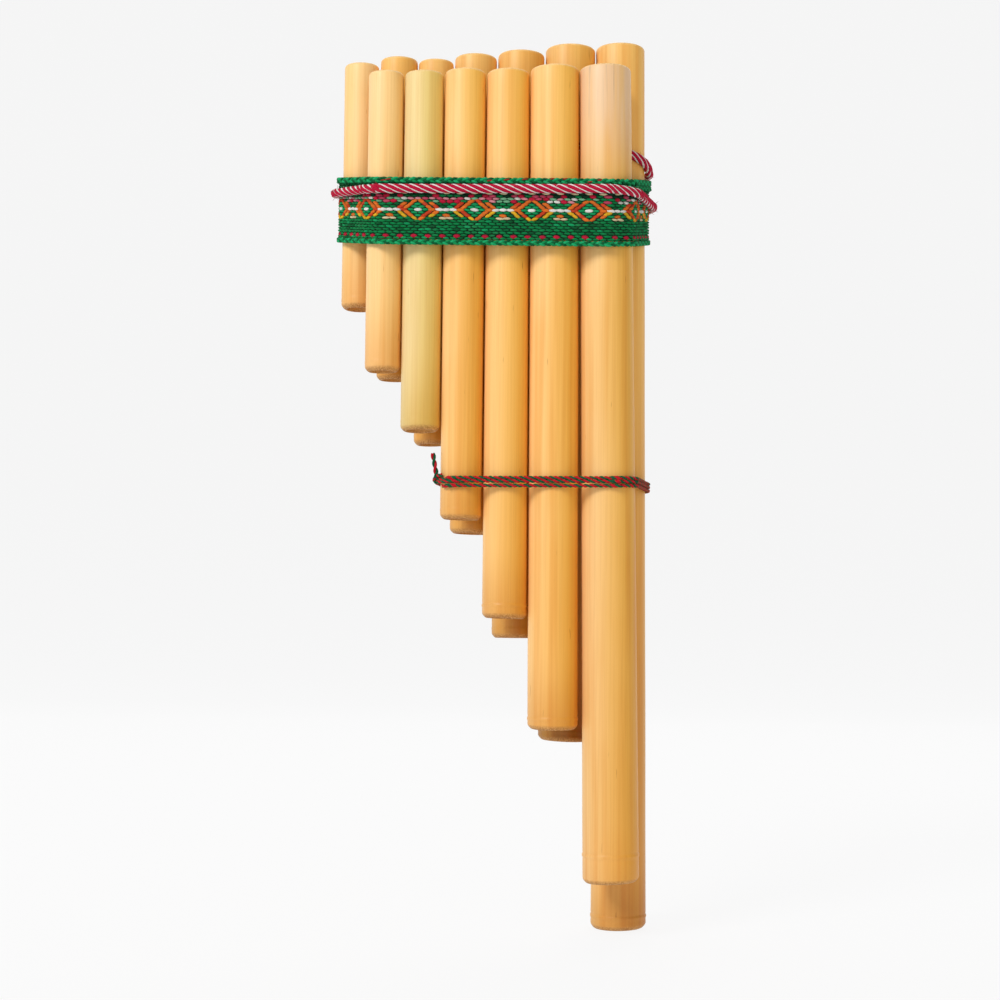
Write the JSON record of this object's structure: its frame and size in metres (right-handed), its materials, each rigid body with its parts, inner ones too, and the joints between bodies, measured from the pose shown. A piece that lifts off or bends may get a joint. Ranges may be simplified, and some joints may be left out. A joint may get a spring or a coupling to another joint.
{
  "type": "pan flute",
  "caption": "Two-row cane pan flute with stepped stopped pipes, tied by a patterned woven band, a twisted cord and a yarn binding.",
  "frame": {"origin": "bottom centre of the whole flute's box, level with the longest pipe's foot", "axes": "+Z from the feet to the mouths, +X from the short pipes to the long ones, -Y is the player's front, where the shorter-mouthed row stands"},
  "size_m": [0.1114, 0.052, 0.2935],
  "materials": {
    "pale_cane": "satin scraped cane with fine lengthwise grain",
    "green_cane": "satin scraped cane with fine lengthwise grain",
    "honey_cane": "satin scraped cane with fine lengthwise grain",
    "stained_cane": "satin scraped cane with fine lengthwise grain",
    "split_cane": "split and scraped cane",
    "thread": "flat waxed thread",
    "band_weave": "green, white, red and orange warp-faced weave",
    "green_braid": "braided green wool",
    "red_cord": "twisted crimson and white wool",
    "binding_yarn": "two-ply red and dark green wool"
  },
  "bodies": {
    "root": {"front_pipe_1": "pale_cane", "front_pipe_2": "green_cane", "front_pipe_3": "honey_cane", "front_pipe_4": "honey_cane", "front_pipe_5": "honey_cane", "front_pipe_6": "stained_cane", "back_pipe_1": "pale_cane", "back_pipe_2": "honey_cane", "back_pipe_3": "honey_cane", "back_pipe_4": "honey_cane", "back_pipe_5": "honey_cane", "back_pipe_6": "honey_cane", "back_pipe_7": "honey_cane", "front_row_front_splint": "split_cane", "front_row_back_splint": "split_cane", "back_row_front_splint": "split_cane", "back_row_back_splint": "split_cane", "front_row_lashing": "thread", "back_row_lashing": "thread", "woven_band": "band_weave", "band_top_edging": "green_braid", "band_bottom_edging": "green_braid", "wrap_cord": "red_cord", "cord_knot": "red_cord", "yarn_binding": "binding_yarn", "yarn_knot": "binding_yarn", "yarn_tail": "binding_yarn"}
  },
  "joints": []
}
